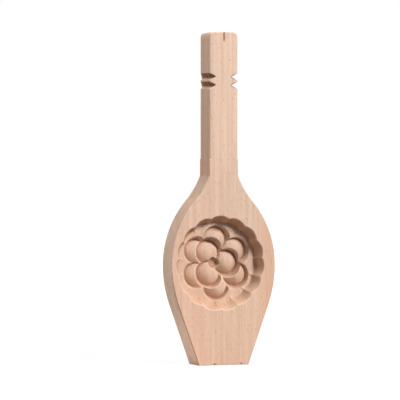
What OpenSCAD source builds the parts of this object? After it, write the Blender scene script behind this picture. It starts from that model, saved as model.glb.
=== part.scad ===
// Carved wooden mould for stuffed shortbread, cut from one beech board.
// It stands on its lower end: +X is its right, -Y its front, +Z runs up the handle.
// Lengths are millimetres. The origin is the middle of the lower end.

/* [Board] */
// Overall length, from the lower end to the top of the handle
board_l = 240; // [215:1:280]
// Thickness of the board
board_t = 20; // [19:0.5:28]

/* [Head] */
// Widest part of the head
head_w = 79.6; // [76:0.2:90]
// Height of the widest part above the lower end
head_z = 71.6; // [68:0.2:80]
// Width of the flat lower end
foot_w = 38.4; // [24:0.2:60]
// Radius of the sides below the widest part
belly_r = 83; // [74:1:110]
// Radius of the sides above the widest part
crown_r = 70.8; // [64:0.2:80]
// Radius of the hollow shoulder between the crown and the handle
shoulder_r = 63; // [45:1:90]
// Height of the crease where the shoulder meets the handle
crease_z = 136.5; // [130:0.5:150]

/* [Handle] */
// Width of the handle
handle_w = 22; // [18:0.5:28]
// Radius of the two top corners
top_r = 4.2; // [1:0.2:8]
// Radius worn onto the long edges of the handle
grip_r = 2; // [0.8:0.1:4]
// Height where that rounding starts, above the shoulder crease
grip_rise = 12; // [4:1:40]

/* [Notches] */
// Notches on each side of the handle
notch_n = 2; // [1:1:4]
// Depth of a notch at the front face
notch_d = 5.2; // [2:0.1:6]
// Depth of a notch at the back face
notch_back_d = 1.6; // [1:0.1:4]
// How far the bottom of a notch drops on its way to the back
notch_drop = 1.4; // [0:0.1:2]
// Width of a notch at its mouth
notch_w = 5; // [2:0.1:5.8]
// Distance from one notch to the next
notch_pitch = 6.1; // [6:0.1:9]
// Height of the lowest notch
notch_z = 201.7; // [180:0.1:206]

/* [Cavity] */
// Distance of the cavity's centre from the board's middle line
cavity_x = -2.6; // [-4:0.1:4]
// Height of the cavity's centre
cavity_z = 73.5; // [70:0.1:78]
// Diameter over the lobes of the rim
rim_d = 68.6; // [64:0.2:71]
// Lobes around the rim
lobe_n = 15; // [12:1:20]
// Radius of one lobe at the rim
lobe_r = 11.4; // [9:0.2:14]
// Depth of the ledge at the foot of the fluted wall
ledge_d = 8.8; // [6:0.1:9]
// How far the fluted wall leans in on its way down
wall_lean = 4.2; // [1:0.1:5]

/* [Petals] */
// Petals in the outer ring
outer_n = 6; // [5:1:6]
// Distance of their centres from the cavity's centre
outer_ring = 17.1; // [16:0.1:18]
// Petals in the inner ring
inner_n = 3; // [3:1:4]
// Distance of their centres from the cavity's centre
inner_ring = 8.9; // [8:0.1:10]
// Radius of a petal at its lip
petal_r = 10.4; // [9:0.1:10.6]
// Radius of the groove around the domed floor
groove_r = 8.6; // [6:0.1:9]
// Depth of the groove below the petal's lip
groove_d = 3.8; // [3:0.1:4.2]
// Height of the domed floor above the groove
dome_h = 2.8; // [1:0.1:3.4]
// Lean of each petal, so that it dips under the next
petal_tilt = 5; // [0:0.5:10]
// How much deeper the inner petals are cut
inner_drop = 3.1; // [1.5:0.1:3.6]
// Radius of the ball cut in the middle
heart_r = 4.1; // [3:0.1:6]

/* [Hidden] */
$fn = 96;
wood = [0.86, 0.70, 0.58];
// How far each cutter runs past the wood, and how far outline pieces run into each other
past = 1;
lap = 0.5;
outline_fn = 360;
lobe_fn = 60;
notch_cuts = 5;

// The shoulder's arc touches the crown's from outside and ends at the crease
crown_c = [head_w / 2 - crown_r, head_z];
crease = [handle_w / 2, crease_z];
crease_gap = norm(crease - crown_c);
crease_way = (crease - crown_c) / crease_gap;
shoulder_along = (pow(crown_r + shoulder_r, 2) - pow(shoulder_r, 2) + pow(crease_gap, 2)) / (2 * crease_gap);
shoulder_aside = sqrt(pow(crown_r + shoulder_r, 2) - pow(shoulder_along, 2));
shoulder_c = crown_c + crease_way * shoulder_along + [crease_way[1], -crease_way[0]] * shoulder_aside;
shoulder = crown_c + (shoulder_c - crown_c) * crown_r / (crown_r + shoulder_r);

// Straight taper from a corner of the lower end, tangent to the belly arc
belly_x = head_w / 2 - belly_r;
foot_gap = norm([foot_w / 2 - belly_x, head_z]);
taper_a = asin(belly_r / foot_gap) - atan2(foot_w / 2 - belly_x, head_z);
taper_l = sqrt(foot_gap * foot_gap - belly_r * belly_r);
taper_top = [foot_w / 2 + taper_l * sin(taper_a), taper_l * cos(taper_a)];

// Circle on each side of the middle line
module pair(x, z, r) {
    for (side = [-1, 1])
        translate([side * x, z]) circle(r = r, $fn = outline_fn);
}

// Space that two opposite arcs enclose
module between_arcs(x, z, r) {
    intersection() {
        translate([x, z]) circle(r = r, $fn = outline_fn);
        translate([-x, z]) circle(r = r, $fn = outline_fn);
    }
}

module band(z0, z1) {
    translate([-head_w, z0]) square([2 * head_w, z1 - z0]);
}

module head_outline() {
    polygon([
        [-foot_w / 2, 0], [foot_w / 2, 0],
        taper_top, [-taper_top[0], taper_top[1]],
    ]);
    intersection() {
        between_arcs(belly_x, head_z, belly_r);
        band(taper_top[1] - lap, head_z);
    }
    intersection() {
        between_arcs(crown_c[0], head_z, crown_r);
        band(head_z - lap, shoulder[1]);
    }
}

module shoulder_outline() {
    difference() {
        polygon([
            [-shoulder[0], shoulder[1] - lap], [shoulder[0], shoulder[1] - lap],
            shoulder, crease, [-crease[0], crease[1]], [-shoulder[0], shoulder[1]],
        ]);
        pair(shoulder_c[0], shoulder_c[1], shoulder_r);
    }
}

module handle_outline() {
    translate([-handle_w / 2, crease_z - lap])
        square([handle_w, board_l - top_r - crease_z + lap]);
    translate([-handle_w / 2 + top_r, board_l - 2 * top_r])
        square([handle_w - 2 * top_r, 2 * top_r]);
    pair(handle_w / 2 - top_r, board_l - top_r, top_r);
}

// Wedge of one notch: a mouth along the handle's side, and a bottom that runs out towards the back
module notch_wedge() {
    mouth = notch_w / 2;
    first = -past / board_t;
    step = (1 - 2 * first) / notch_cuts;
    slices = [
        for (k = [0 : notch_cuts])
            let (
                way = first + k * step,
                y = board_t * (way - 0.5),
                d = notch_d + (notch_back_d - notch_d) * way,
                drop = notch_drop * way
            )
            each [
                [-d, y, -drop],
                [past, y, mouth + (mouth + drop) * past / d],
                [past, y, -mouth - (mouth - drop) * past / d],
            ]
    ];
    sides = [
        for (k = [0 : 3 : 3 * notch_cuts - 3])
            each [
                [k + 4, k + 1, k], [k + 3, k + 4, k],
                [k + 3, k, k + 2], [k + 5, k + 3, k + 2],
                [k + 5, k + 2, k + 1], [k + 4, k + 5, k + 1],
            ]
    ];
    last = 3 * notch_cuts;
    polyhedron(slices, concat(sides, [[0, 1, 2], [last + 2, last + 1, last]]));
}

module notches() {
    for (flip = [0, 1], k = [0 : notch_n - 1])
        mirror([flip, 0, 0])
            translate([handle_w / 2, 0, notch_z + k * notch_pitch]) notch_wedge();
}

module blank() {
    translate([0, board_t / 2, 0]) rotate([90, 0, 0])
        linear_extrude(height = board_t) {
            head_outline();
            shoulder_outline();
            handle_outline();
        }
}

// Waste outside the rounded long edges of the handle
module edge_waste() {
    grip_z = crease_z + grip_rise;
    translate([0, 0, grip_z])
        linear_extrude(height = board_l - grip_z + past)
            difference() {
                square([handle_w + 2 * past, board_t + 2 * past], center = true);
                square([handle_w - 2 * grip_r, board_t + 4 * past], center = true);
                square([handle_w + 4 * past, board_t - 2 * grip_r], center = true);
                for (side = [-1, 1], face = [-1, 1])
                    translate([side * (handle_w / 2 - grip_r), face * (board_t / 2 - grip_r)])
                        circle(r = grip_r);
            }
}

// Lobed outline of the rim, at the front face
module rim_outline() {
    lobe_ring = rim_d / 2 - lobe_r;
    circle(r = lobe_ring, $fn = lobe_fn);
    for (k = [0 : lobe_n - 1])
        rotate(k * 360 / lobe_n) translate([0, lobe_ring]) circle(r = lobe_r, $fn = lobe_fn);
}

// Fluted wall of the cavity, leaning in from the lobed rim to the ledge
module fluted_wall() {
    foot_k = 1 - 2 * wall_lean / rim_d;
    past_k = 1 + (1 - foot_k) * past / ledge_d;
    translate([0, 0, -ledge_d])
        linear_extrude(height = ledge_d + past, scale = past_k / foot_k)
            scale(foot_k) rim_outline();
}

// Cutter of one petal: a groove around a domed floor, with its lip at height zero
module petal_cutter(lift) {
    dome_r = (groove_r * groove_r + dome_h * dome_h) / (2 * dome_h);
    wall_k = (petal_r - groove_r) / groove_d;
    difference() {
        rotate_extrude()
            polygon([
                [0, -groove_d - past / 2], [groove_r - wall_k * past / 2, -groove_d - past / 2],
                [petal_r + wall_k * past, past], [petal_r + wall_k * past, lift], [0, lift],
            ]);
        translate([0, 0, dome_h - groove_d - dome_r]) rotate([90, 0, 0]) sphere(r = dome_r);
    }
}

// Ring of petals, each leaning so that it dips under its neighbour
module petal_ring(count, ring, first, depth) {
    for (k = [0 : count - 1])
        rotate(-(first + k * 360 / count)) translate([0, ring, -depth])
            rotate([0, petal_tilt, 0]) petal_cutter(depth - ledge_d + groove_d);
}

// Puts a cutter in the cavity's place: its height zero is the front face, and it cuts inwards
module at_cavity() {
    translate([cavity_x, -board_t / 2, cavity_z]) rotate([90, 0, 0]) children();
}

// The carver's four passes, from the fluted wall down to the heart
module mould_board() {
    inner_d = ledge_d + inner_drop;
    color(wood)
        difference() {
            difference() {
                difference() {
                    difference() {
                        blank();
                        edge_waste();
                        notches();
                        at_cavity() fluted_wall();
                    }
                    at_cavity() petal_ring(outer_n, outer_ring, 0, ledge_d);
                }
                at_cavity() petal_ring(inner_n, inner_ring, 90, inner_d);
            }
            at_cavity() translate([0, 0, -inner_d - groove_d / 2]) sphere(r = heart_r);
        }
}

mould_board();
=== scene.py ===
import math

import bmesh
import bpy
import numpy as np
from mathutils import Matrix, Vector


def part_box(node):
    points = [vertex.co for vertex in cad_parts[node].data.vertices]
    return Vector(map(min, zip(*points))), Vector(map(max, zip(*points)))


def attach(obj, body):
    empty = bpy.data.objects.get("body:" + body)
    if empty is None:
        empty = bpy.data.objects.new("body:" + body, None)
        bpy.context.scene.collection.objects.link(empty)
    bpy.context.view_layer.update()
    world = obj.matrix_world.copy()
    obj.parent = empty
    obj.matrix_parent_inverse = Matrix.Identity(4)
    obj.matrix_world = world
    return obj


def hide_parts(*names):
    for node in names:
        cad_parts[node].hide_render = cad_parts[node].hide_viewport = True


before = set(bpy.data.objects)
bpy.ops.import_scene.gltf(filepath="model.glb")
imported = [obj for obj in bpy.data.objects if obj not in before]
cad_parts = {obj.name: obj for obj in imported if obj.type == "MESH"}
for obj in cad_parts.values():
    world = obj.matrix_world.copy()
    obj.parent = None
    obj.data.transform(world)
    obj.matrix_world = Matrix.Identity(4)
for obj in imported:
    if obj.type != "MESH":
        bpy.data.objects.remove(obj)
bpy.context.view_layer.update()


# The mould board is one plank of steamed beech. A router cut its paddle outline, notches and cavity, and
# fine paper took the sharpness off every edge, so the imported solid is remeshed finely and worn a little.
# Its finish is bare wood, pale where hands rub it, with a painted highlight on its lips, painted shade in
# its hollows, folds, downward walls and notches, and a darkened left arris low on the head.
board_low, board_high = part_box("mould_board")
GRAIN_CELL = 0.0003
BOARD_TRIANGLES = 185000
SANDING_PASSES, LIP_PASSES, HOLLOW_PASSES = 3, 5, 420
LIP_BY, HOLLOW_BY = 0.00007, 0.0010
SANDED_WAVES, SANDED_BY = 90.0, 0.00003
SANDED_WAYS = [((1, 0.4, 0.7), 0), ((-0.6, 1, 0.3), 2), ((0.5, -0.8, 1.1), 4)]

SPLIT_X, SPLIT_HALF, SPLIT_DEEP = 0.00006, 0.00065, 0.0011
SPLIT_LOW, SPLIT_RUNOUT = 0.2312, 0.004
SPLIT_BACK, SPLIT_EASE = -0.0045, 0.001
PECKS = [(0.00462, 0.21956, 0.0006), (-0.0072, 0.0006, 0.0012), (0.0133, 0.0006, 0.0012)]
PECK_DEEP, PECK_CORE, FRONT_SKIN = 0.0003, 0.3, 0.001

CAVITY_X, CAVITY_Z = -0.0026, 0.0735
CAVITY_IN, CAVITY_OUT = 0.0350, 0.0365
LEDGE_Y = board_low.y + 0.0088
FLUTES = 15
RUNOUT_FROM, RUNOUT_TO = 0.0252, 0.0288
RUNOUT_HALF, RUNOUT_HIGH, RUNOUT_SKIN = 0.0013, 0.00045, 0.0010

WALL_FROM, WALL_TO = 0.0004, 0.0020
RIM_FROM, RIM_TO = 0.0270, 0.0285
DOME_FROM, DOME_TO = 0.0002, 0.0012
HOLLOW_SHADE_FROM, HOLLOW_SHADE_TO = 0.0008, 0.0024
LEDGE_SHADE, LEDGE_UNSHADED_BELOW = 0.35, 0.024
EDGE_DARK_BELOW, EDGE_DARK_FADE = 0.072, 0.02
NOTCHES_FROM, NOTCHES_TO, NOTCH_FADE = 0.1980, 0.2125, 0.001
TIP_FROM, TIP_FULL, TIP_THINS, TIP_TO = 0.0048, 0.0056, 0.0070, 0.0096
TIP_FRONT = -0.0085


def welded_copy(node_object, name):
    """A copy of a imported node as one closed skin, with its doubled corners joined."""
    skin = bmesh.new()
    skin.from_mesh(node_object.data)
    bmesh.ops.remove_doubles(skin, verts=skin.verts, dist=0.000002)
    corners = [v.co.copy() for v in skin.verts]
    faces = [[v.index for v in f.verts] for f in skin.faces]
    skin.free()
    mesh = bpy.data.meshes.new(name)
    mesh.from_pydata(corners, [], faces)
    piece = bpy.data.objects.new(name, mesh)
    bpy.context.scene.collection.objects.link(piece)
    return piece


def settle(piece):
    """Turns the piece's live modifiers into its plain mesh."""
    seen = piece.evaluated_get(bpy.context.evaluated_depsgraph_get())
    finished = bpy.data.meshes.new_from_object(seen)
    piece.modifiers.clear()
    piece.data = finished


def read_skin(mesh):
    """The places, outward directions and edges of a mesh as number arrays."""
    places = np.empty(3 * len(mesh.vertices))
    mesh.vertices.foreach_get("co", places)
    outward = np.empty(3 * len(mesh.vertices))
    mesh.vertex_normals.foreach_get("vector", outward)
    edges = np.empty(2 * len(mesh.edges), dtype=np.int32)
    mesh.edges.foreach_get("vertices", edges)
    return places.reshape(-1, 3), outward.reshape(-1, 3), edges.reshape(-1, 2)


def rubbed(places, edges, passes):
    """The places after each has moved halfway to the middle of its neighbours, again and again."""
    count = len(places)
    near, far = edges[:, 0], edges[:, 1]
    neighbours = np.bincount(near, minlength=count) + np.bincount(far, minlength=count)
    for _ in range(passes):
        sums = [
            np.bincount(near, places[far, axis], count) + np.bincount(far, places[near, axis], count)
            for axis in range(3)
        ]
        places = 0.5 * places + 0.5 * np.stack(sums, 1) / neighbours[:, None]
    return places


def fade(value, start, end):
    """Rises smoothly from 0 at start to 1 at end."""
    way = np.clip((value - start) / (end - start), 0.0, 1.0)
    return way * way * (3.0 - 2.0 * way)


def mark(name, strength):
    """Stores on the board how strongly each point shows a kind of wear."""
    layer = board.data.attributes.new(name, "FLOAT", "POINT")
    layer.data.foreach_set("value", strength.astype(np.float32))


board = welded_copy(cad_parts["mould_board"], "carved_board")
cells = board.modifiers.new("cells", "REMESH")
cells.mode = "VOXEL"
cells.voxel_size = GRAIN_CELL
settle(board)

# Sanded skin: how far it stands out at a lip, and how far it lies sunk in a hollow of the cavity
places, outward, edges = read_skin(board.data)
skin = rubbed(places, edges, SANDING_PASSES)
across, deep, high = skin.T
turned_right, turned_back, turned_up = outward.T
standing = np.sum((skin - rubbed(skin, edges, LIP_PASSES)) * outward, 1)
from_middle = np.hypot(across - CAVITY_X, high - CAVITY_Z)
in_cavity = fade(-from_middle, -CAVITY_OUT, -CAVITY_IN) * (turned_back < 0.3)
carved = in_cavity > 0
carved_skin = skin[carved]
carved_edges = (np.cumsum(carved) - 1)[edges[carved[edges].all(1)]]
filled_in = rubbed(carved_skin, carved_edges, HOLLOW_PASSES)
sunken = np.zeros(len(skin))
sunken[carved] = np.sum((filled_in - carved_skin) * outward[carved], 1)
waves = sum(np.sin(skin @ np.array(way) * SANDED_WAVES + turn) for way, turn in SANDED_WAYS)
skin += outward * (SANDED_BY / len(SANDED_WAYS) * waves)[:, None]

# Short split at the top of the handle, and three small pecks in the front
on_split = fade(-np.abs(across - SPLIT_X), -SPLIT_HALF, 0)
on_split *= fade(high, SPLIT_LOW, SPLIT_LOW + SPLIT_RUNOUT)
on_split *= fade(-deep, -SPLIT_BACK - SPLIT_EASE, -SPLIT_BACK + SPLIT_EASE)
skin -= outward * (SPLIT_DEEP * on_split)[:, None]
pecked = np.zeros(len(skin))
for peck_x, peck_z, peck_half in PECKS:
    away = np.hypot(across - peck_x, high - peck_z)
    pecked += fade(-away, -peck_half, -PECK_CORE * peck_half) * (deep < board_low.y + FRONT_SKIN)
skin -= outward * (PECK_DEEP * pecked)[:, None]
board.data.vertices.foreach_set("co", skin.ravel())

# Lips, rubbed paler and given a painted highlight; the left arris low on the head, darkened; and painted
# shade in the folds at the foot of every carved wall
lip_and_highlight = fade(standing, 0.25 * LIP_BY, LIP_BY)
arris = fade(standing, 0.02 * LIP_BY, 0.2 * LIP_BY)
fold_shade = fade(-standing, 0.25 * LIP_BY, LIP_BY)
left_front = (across < 0) & (deep < 0) & (turned_right < -0.02)
darkened_arris = arris * left_front * fade(-high, -EDGE_DARK_BELOW, EDGE_DARK_FADE - EDGE_DARK_BELOW)
mark("rubbed_lip_and_highlight", lip_and_highlight * (0.2 + 0.8 * in_cavity))
mark("darkened_left_arris", darkened_arris * (1 - in_cavity))
# Painted shade in the concave folds at the foot of the cavity walls
mark("crease", fold_shade * in_cavity)

# Painted shade in the hollows and on the upper ledge, and on the lower left sides of the domed floors,
# which face away from the key light
on_domes = in_cavity * fade(deep, LEDGE_Y + DOME_FROM, LEDGE_Y + DOME_TO) * fade(-turned_back, 0.70, 0.85)
on_ledge = LEDGE_SHADE * fade(high, CAVITY_Z - LEDGE_UNSHADED_BELOW, CAVITY_Z)
below_ledge = on_ledge + (1 - on_ledge) * fade(deep, LEDGE_Y + HOLLOW_SHADE_FROM, LEDGE_Y + HOLLOW_SHADE_TO)
# Painted shade on the dome sides that face down and left, away from the key light
mark("painted_low_side_shade", on_domes * fade(-(turned_right + turned_up), 0.05, 0.6))
mark("painted_hollow_shade", below_ledge * fade(sunken, -0.1 * HOLLOW_BY, HOLLOW_BY))

# Cut walls, with painted shade on the outer walls that face down, end grain and sawn sides
below_face = in_cavity * fade(deep, board_low.y + WALL_FROM, board_low.y + WALL_TO)
hanging = fade(from_middle, RIM_FROM, RIM_TO) * fade(-turned_up, 0.0, 0.5)
mark("rough_cut", below_face)
mark("painted_hanging_wall_shade", below_face * hanging)
mark("end_grain", turned_up ** 2)
mark("side_face", fade(np.abs(turned_right), 0.6, 0.9) * (1 - in_cavity))

# The split and the pecks darkened, and painted shade on the downward-facing walls and right-hand tips of
# the notches
by_notches = fade(high, NOTCHES_FROM, NOTCHES_FROM + NOTCH_FADE)
by_notches *= fade(-high, -NOTCHES_TO, NOTCH_FADE - NOTCHES_TO)
at_tips = fade(across, TIP_FROM, TIP_FULL) * fade(-across, -TIP_TO, -TIP_THINS) * (deep < TIP_FRONT)
notch_shade = fade(-turned_up, 0.25, 0.6) + at_tips * arris
mark("dark_mark", np.clip(fade(on_split, 0.05, 0.6) + pecked, 0, 1))
mark("painted_notch_shade", by_notches * np.clip(notch_shade, 0, 1))


def beech_finish():
    """Bare steamed beech, its grain laid up the board."""
    finish = bpy.data.materials.new("sanded_beech")
    finish.use_nodes = True
    nodes, links = finish.node_tree.nodes, finish.node_tree.links
    shader = nodes["Principled BSDF"]
    shader.inputs["Specular IOR Level"].default_value = 0.35
    place = nodes.new("ShaderNodeTexCoord")

    def clouds(scale, detail=3.0, rough=0.5, bend=0.0):
        mapping = nodes.new("ShaderNodeMapping")
        mapping.inputs["Scale"].default_value = scale
        links.new(place.outputs["Object"], mapping.inputs["Vector"])
        texture = nodes.new("ShaderNodeTexNoise")
        texture.inputs["Scale"].default_value = 1.0
        texture.inputs["Detail"].default_value = detail
        texture.inputs["Roughness"].default_value = rough
        texture.inputs["Distortion"].default_value = bend
        links.new(mapping.outputs["Vector"], texture.inputs["Vector"])
        return texture.outputs["Fac"]

    def marked(name):
        layer = nodes.new("ShaderNodeAttribute")
        layer.attribute_name = name
        return layer.outputs["Fac"]

    def ramp(value, *stops):
        colours = nodes.new("ShaderNodeValToRGB")
        band = colours.color_ramp
        while len(band.elements) < len(stops):
            band.elements.new(0.5)
        for element, (position, colour) in zip(band.elements, stops):
            element.position = position
            element.color = (*colour, 1.0)
        links.new(value, colours.inputs["Fac"])
        return colours.outputs["Color"]

    def calc(kind, value, other):
        step = nodes.new("ShaderNodeMath")
        step.operation = kind
        links.new(value, step.inputs[0])
        if isinstance(other, float):
            step.inputs[1].default_value = other
        else:
            links.new(other, step.inputs[1])
        return step.outputs["Value"]

    def tinted(kind, factor, under, over):
        mix = nodes.new("ShaderNodeMix")
        mix.data_type = "RGBA"
        mix.blend_type = kind
        if isinstance(factor, float):
            mix.inputs["Factor"].default_value = factor
        else:
            links.new(factor, mix.inputs["Factor"])
        links.new(under, mix.inputs["A"])
        if isinstance(over, tuple):
            mix.inputs["B"].default_value = (*over, 1.0)
        else:
            links.new(over, mix.inputs["B"])
        return mix.outputs["Result"]

    # Streaks, broad bands, and the plank's slow change of colour from foot to handle and towards the right
    bare = (1.0, 1.0, 1.0)
    streaks = clouds((330, 200, 9), 4, 0.55, 0.5)
    wood = ramp(streaks, (0.30, (0.715, 0.50, 0.372)), (0.70, (0.84, 0.618, 0.483)))
    bands = ramp(clouds((38, 38, 4), 2), (0.38, (1.0, 0.955, 0.94)), (0.62, (0.985, 1.0, 0.985)))
    wood = tinted("MULTIPLY", 1.0, wood, bands)
    spot = nodes.new("ShaderNodeSeparateXYZ")
    links.new(place.outputs["Object"], spot.inputs["Vector"])
    up_board = calc("MULTIPLY", spot.outputs["Z"], 1 / board_high.z)
    plank = ((0.0, (1.07, 0.97, 0.92)), (0.55, (0.965, 0.95, 0.94)), (0.72, (1.01, 1.03, 1.035)))
    wood = tinted("MULTIPLY", 1.0, wood, ramp(up_board, *plank))
    over_board = calc("MULTIPLY", spot.outputs["X"], 1 / board_high.x)
    warm_right = ramp(over_board, (0.62, bare), (0.80, (0.97, 0.88, 0.84)))
    wood = tinted("MULTIPLY", 1.0, wood, warm_right)

    # Fine fibres, the short dark rays of beech, and open pores on the end grain
    fibres = ramp(clouds((1500, 1500, 50), 2), (0.3, (0.95, 0.94, 0.93)), (0.6, bare))
    wood = tinted("MULTIPLY", 1.0, wood, fibres)
    rays = ramp(clouds((1150, 900, 300), 1), (0.59, bare), (0.70, (0.89, 0.79, 0.72)))
    wood = tinted("MULTIPLY", 1.0, wood, rays)
    pores = ramp(clouds((1900, 1900, 1900), 1), (0.42, (0.78, 0.68, 0.60)), (0.60, (0.96, 0.93, 0.90)))
    wood = tinted("MULTIPLY", calc("MULTIPLY", marked("end_grain"), 0.8), wood, pores)

    # Sides: greyer from the saw on the head, browner from hands on the handle
    sides = ramp(up_board, (0.550, (1.0, 1.07, 1.10)), (0.575, (0.94, 0.885, 0.855)))
    wood = tinted("MULTIPLY", marked("side_face"), wood, sides)
    # Cut surfaces are a touch greyer; the other entries are painted shade in hollows, folds, low sides,
    # down-facing walls and notches
    stains = {
        "rough_cut": (0.93, 0.95, 0.95),
        "painted_hollow_shade": (0.68, 0.58, 0.51),
        "crease": (0.84, 0.74, 0.67),
        "painted_low_side_shade": (0.78, 0.69, 0.63),
        "painted_notch_shade": (0.47, 0.36, 0.29),
        "painted_hanging_wall_shade": (0.93, 0.77, 0.68),
    }
    for wear, stain in stains.items():
        wood = tinted("MULTIPLY", marked(wear), wood, stain)
    # Lips: rubbed paler, with a painted highlight on top of the wear
    lip_and_highlight = calc("MULTIPLY", marked("rubbed_lip_and_highlight"), 0.8)
    wood = tinted("MIX", lip_and_highlight, wood, (0.92, 0.75, 0.63))
    # The left arris low on the head, darkened
    wood = tinted("MULTIPLY", marked("darkened_left_arris"), wood, (0.60, 0.44, 0.34))
    wood = tinted("MIX", calc("MULTIPLY", marked("dark_mark"), 0.75), wood, (0.20, 0.10, 0.065))
    links.new(wood, shader.inputs["Base Color"])

    # Dull wood, a little shinier where it is rubbed, with raised fibres
    dull = calc("ADD", calc("MULTIPLY", streaks, 0.25), 0.5)
    links.new(calc("SUBTRACT", dull, calc("MULTIPLY", lip_and_highlight, 0.25)), shader.inputs["Roughness"])
    raised = nodes.new("ShaderNodeBump")
    raised.inputs["Strength"].default_value = 0.15
    raised.inputs["Distance"].default_value = 0.0002
    links.new(clouds((2200, 2200, 140), 2), raised.inputs["Height"])
    links.new(raised.outputs["Normal"], shader.inputs["Normal"])
    return finish


def flute_runouts(finish):
    """Low ridges on the ledge, where the cusps between the flutes of the wall run out."""
    tree = bpy.data.node_groups.new("flute_runouts", "GeometryNodeTree")
    tree.interface.new_socket("Skin", in_out="OUTPUT", socket_type="NodeSocketGeometry")
    tree.interface.new_socket("Skin", in_out="INPUT", socket_type="NodeSocketGeometry")
    sizes = {
        "Flutes": FLUTES, "Middle across": CAVITY_X, "Middle up": CAVITY_Z, "Ledge depth": LEDGE_Y,
        "From": RUNOUT_FROM, "To": RUNOUT_TO, "Half width": RUNOUT_HALF, "Height": RUNOUT_HIGH,
    }
    sockets = {}
    for label in sizes:
        socket = tree.interface.new_socket(label, in_out="INPUT", socket_type="NodeSocketFloat")
        sockets[label] = socket.identifier
    given = tree.nodes.new("NodeGroupInput")
    spot = tree.nodes.new("ShaderNodeSeparateXYZ")
    tree.links.new(tree.nodes.new("GeometryNodeInputPosition").outputs["Position"], spot.inputs["Vector"])

    def feed(socket, value):
        if isinstance(value, (int, float)):
            socket.default_value = value
        else:
            tree.links.new(value, socket)

    def calc(kind, first, second=0.0):
        step = tree.nodes.new("ShaderNodeMath")
        step.operation = kind
        feed(step.inputs[0], first)
        feed(step.inputs[1], second)
        return step.outputs["Value"]

    def rise(value, low, high):
        step = tree.nodes.new("ShaderNodeMapRange")
        step.interpolation_type = "SMOOTHSTEP"
        feed(step.inputs["Value"], value)
        feed(step.inputs["From Min"], low)
        feed(step.inputs["From Max"], high)
        return step.outputs["Result"]

    across = calc("SUBTRACT", spot.outputs["X"], given.outputs["Middle across"])
    up = calc("SUBTRACT", spot.outputs["Z"], given.outputs["Middle up"])
    radius = calc("SQRT", calc("ADD", calc("MULTIPLY", across, across), calc("MULTIPLY", up, up)))
    turns = calc("DIVIDE", calc("ARCTAN2", across, up), 2 * math.pi)
    flute_at = calc("FRACT", calc("MULTIPLY", turns, given.outputs["Flutes"]))
    arc = calc("DIVIDE", calc("MULTIPLY", radius, 2 * math.pi), given.outputs["Flutes"])
    from_cusp = calc("ABSOLUTE", calc("MULTIPLY", calc("SUBTRACT", flute_at, 0.5), arc))
    crest = calc("SUBTRACT", 1.0, rise(from_cusp, 0.0, given.outputs["Half width"]))
    reach = rise(radius, given.outputs["From"], given.outputs["To"])
    off_ledge = calc("ABSOLUTE", calc("SUBTRACT", spot.outputs["Y"], given.outputs["Ledge depth"]))
    on_ledge = calc("SUBTRACT", 1.0, rise(off_ledge, given.outputs["Height"], RUNOUT_SKIN))
    ridge = calc("MULTIPLY", crest, reach)
    lift = calc("MULTIPLY", ridge, calc("MULTIPLY", on_ledge, given.outputs["Height"]))
    forward = tree.nodes.new("ShaderNodeCombineXYZ")
    tree.links.new(calc("MULTIPLY", lift, -1.0), forward.inputs["Y"])
    moved = tree.nodes.new("GeometryNodeSetPosition")
    tree.links.new(given.outputs["Skin"], moved.inputs["Geometry"])
    tree.links.new(forward.outputs["Vector"], moved.inputs["Offset"])
    real = tree.nodes.new("GeometryNodeRealizeInstances")
    tree.links.new(moved.outputs["Geometry"], real.inputs["Geometry"])
    clad = tree.nodes.new("GeometryNodeSetMaterial")
    clad.inputs["Material"].default_value = finish
    tree.links.new(real.outputs["Geometry"], clad.inputs["Geometry"])
    result = tree.nodes.new("NodeGroupOutput")
    tree.links.new(clad.outputs["Geometry"], result.inputs["Skin"])
    return tree, {sockets[label]: float(size) for label, size in sizes.items()}


beech = beech_finish()
runout_tree, runout_sizes = flute_runouts(beech)
runouts = board.modifiers.new("flute_runouts", "NODES")
runouts.node_group = runout_tree
for identifier, size in runout_sizes.items():
    runouts[identifier] = size
settle(board)

thinned = board.modifiers.new("thinned", "DECIMATE")
thinned.ratio = min(1.0, BOARD_TRIANGLES / (2 * len(board.data.polygons)))
settle(board)
board.data.polygons.foreach_set("use_smooth", [True] * len(board.data.polygons))
board.data.materials.clear()
board.data.materials.append(beech)
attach(board, "root")
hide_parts("mould_board")


# The studio: a white sweep of paper under the board in a dim white room. The camera sees room and paper
# at full white, and the paper keeps the board's shadow. Beside the board's foot, on its left, the paper
# throws more light back. Five round lamps light the board.
ROOM_LEVEL = 0.04
PAPER_HALF = 6.0
PAPER_SEEN, PAPER_THROWN = 0.25, 0.16
BOUNCE_X, BOUNCE_FROM, BOUNCE_TO, BOUNCE_THROWN = -0.063, 0.025, 0.062, 0.65
GLOW_NEAR, GLOW_FAR = 0.72, 1.0
GLOW_FROM, GLOW_TO = 0.25, 1.3
LAMP_AWAY, LAMP_AIM = 2.2, 0.12


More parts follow.
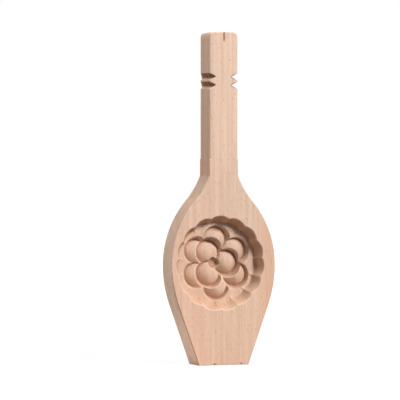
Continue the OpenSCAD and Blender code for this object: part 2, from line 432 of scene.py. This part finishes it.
def paper_finish():
    """White paper: the colour that the camera sees and the one that it throws on the board differ."""
    finish = bpy.data.materials.new("white_paper")
    finish.use_nodes = True
    nodes, links = finish.node_tree.nodes, finish.node_tree.links
    paper = nodes["Principled BSDF"]
    paper.inputs["Roughness"].default_value = 0.9
    paper.inputs["Specular IOR Level"].default_value = 0.2
    place = nodes.new("ShaderNodeTexCoord")
    path = nodes.new("ShaderNodeLightPath")

    def eased(value, from_min, from_max, to_min, to_max):
        step = nodes.new("ShaderNodeMapRange")
        step.interpolation_type = "SMOOTHSTEP"
        step.inputs["From Min"].default_value = from_min
        step.inputs["From Max"].default_value = from_max
        step.inputs["To Min"].default_value = to_min
        step.inputs["To Max"].default_value = to_max
        links.new(value, step.inputs["Value"])
        return step.outputs["Result"]

    def away_from(x):
        step = nodes.new("ShaderNodeVectorMath")
        step.operation = "DISTANCE"
        step.inputs[1].default_value = (x, 0, 0)
        links.new(place.outputs["Object"], step.inputs[0])
        return step.outputs["Value"]

    shade = nodes.new("ShaderNodeMix")
    shade.data_type = "RGBA"
    links.new(path.outputs["Is Camera Ray"], shade.inputs["Factor"])
    thrown = eased(away_from(BOUNCE_X), BOUNCE_FROM, BOUNCE_TO, BOUNCE_THROWN, PAPER_THROWN)
    links.new(thrown, shade.inputs["A"])
    shade.inputs["B"].default_value = (PAPER_SEEN, PAPER_SEEN, PAPER_SEEN, 1.0)
    links.new(shade.outputs["Result"], paper.inputs["Base Color"])
    lift = nodes.new("ShaderNodeMath")
    lift.operation = "MULTIPLY"
    links.new(path.outputs["Is Camera Ray"], lift.inputs[0])
    links.new(eased(away_from(0), GLOW_FROM, GLOW_TO, GLOW_NEAR, GLOW_FAR), lift.inputs[1])
    glow = nodes.new("ShaderNodeEmission")
    links.new(lift.outputs["Value"], glow.inputs["Strength"])
    both = nodes.new("ShaderNodeAddShader")
    links.new(paper.outputs["BSDF"], both.inputs[0])
    links.new(glow.outputs["Emission"], both.inputs[1])
    links.new(both.outputs["Shader"], nodes["Material Output"].inputs["Surface"])
    return finish


paper_corners = [
    (-PAPER_HALF, -PAPER_HALF, 0), (PAPER_HALF, -PAPER_HALF, 0),
    (PAPER_HALF, PAPER_HALF, 0), (-PAPER_HALF, PAPER_HALF, 0),
]
paper_mesh = bpy.data.meshes.new("paper")
paper_mesh.from_pydata(paper_corners, [], [(0, 1, 2, 3)])
paper = bpy.data.objects.new("paper", paper_mesh)
bpy.context.scene.collection.objects.link(paper)
paper_mesh.materials.append(paper_finish())

surround = bpy.data.worlds.new("surround")
bpy.context.scene.world = surround
surround.use_nodes = True
room_nodes, room_links = surround.node_tree.nodes, surround.node_tree.links
room = room_nodes["Background"]
room.inputs["Color"].default_value = (1.0, 1.0, 1.0, 1.0)
seen = room_nodes.new("ShaderNodeLightPath")
level = room_nodes.new("ShaderNodeMapRange")
level.inputs["To Min"].default_value = ROOM_LEVEL
level.inputs["To Max"].default_value = 1.0
room_links.new(seen.outputs["Is Camera Ray"], level.inputs["Value"])
room_links.new(level.outputs["Result"], room.inputs["Strength"])


def softbox(name, turn, rise, width, share):
    """A round soft light aimed at the board, giving a share of the light that shows colours as written."""
    lamp = bpy.data.lights.new(name, "AREA")
    lamp.shape = "DISK"
    lamp.size = width
    lamp.energy = share * (math.pi * LAMP_AWAY) ** 2
    holder = bpy.data.objects.new(name, lamp)
    bpy.context.scene.collection.objects.link(holder)
    turn, rise = math.radians(turn), math.radians(rise)
    way = Vector((math.sin(turn) * math.cos(rise), -math.cos(turn) * math.cos(rise), math.sin(rise)))
    holder.location = Vector((0, 0, LAMP_AIM)) + way * LAMP_AWAY
    holder.rotation_mode = "QUATERNION"
    holder.rotation_quaternion = way.to_track_quat("Z", "Y")


softbox("key_light", turn=28, rise=33, width=0.6, share=1.12)
softbox("side_light", turn=268, rise=58, width=0.85, share=0.56)
softbox("low_side_light", turn=266, rise=2, width=0.85, share=0.22)
softbox("top_light", turn=0, rise=80, width=0.85, share=0.12)
softbox("back_light", turn=145, rise=40, width=0.85, share=0.6)


# The camera: a long lens 2.2 m away, level with the lower part of the handle and turned 21 degrees to the
# left of the face, so that the left side shows.
CAMERA_TURN = math.radians(-21)
CAMERA_AWAY, CAMERA_HEIGHT = 2.2, 0.162
AIM_RIGHT, AIM_HEIGHT = -0.01369, 0.1189
SENSOR_WIDTH, LENS = 36.0, 273.7
back = Vector((math.sin(CAMERA_TURN), -math.cos(CAMERA_TURN), 0))
right = Vector((math.cos(CAMERA_TURN), math.sin(CAMERA_TURN), 0))
camera_data = bpy.data.cameras.new("camera")
camera_data.sensor_width = SENSOR_WIDTH
camera_data.lens = LENS
camera = bpy.data.objects.new("camera", camera_data)
bpy.context.scene.collection.objects.link(camera)
camera.location = back * CAMERA_AWAY + Vector((0, 0, CAMERA_HEIGHT))
aim = right * AIM_RIGHT + Vector((0, 0, AIM_HEIGHT))
camera.rotation_mode = "QUATERNION"
camera.rotation_quaternion = (camera.location - aim).to_track_quat("Z", "Y")
bpy.context.scene.camera = camera
bpy.context.scene.view_settings.view_transform = "Standard"
